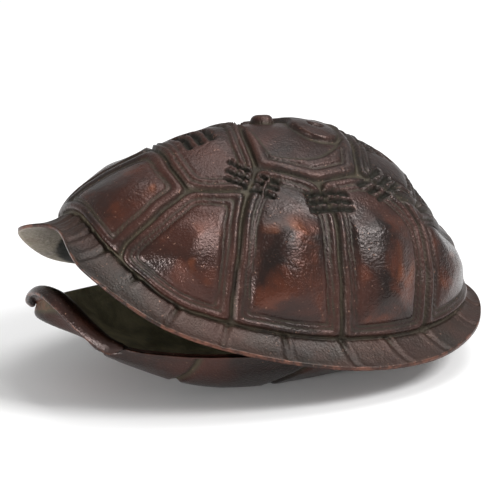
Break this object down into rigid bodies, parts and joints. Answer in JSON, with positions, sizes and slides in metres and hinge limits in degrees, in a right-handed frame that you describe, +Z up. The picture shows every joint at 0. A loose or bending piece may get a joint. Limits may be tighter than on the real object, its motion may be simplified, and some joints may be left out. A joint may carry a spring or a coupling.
{
  "type": "cast bronze tortoise shell",
  "caption": "Hollow cast bronze tortoise shell with framed scutes, a two-comma disc and eight groups of bars on its back, and a shallow lower shell that flares at the head end.",
  "frame": {"origin": "middle of the shell's length and width, on the plane it rests on", "axes": "+X towards the tail end, -X towards the head opening, +Y to the animal's right side, +Z up through the dome"},
  "size_m": [0.143, 0.1093, 0.0764],
  "materials": {
    "patinated_bronze": "dark red-brown patina, rubbed smooth on the raised fields, green-brown residue in the grooves"
  },
  "bodies": {
    "root": {"turtle_shell": "patinated_bronze"}
  },
  "joints": []
}
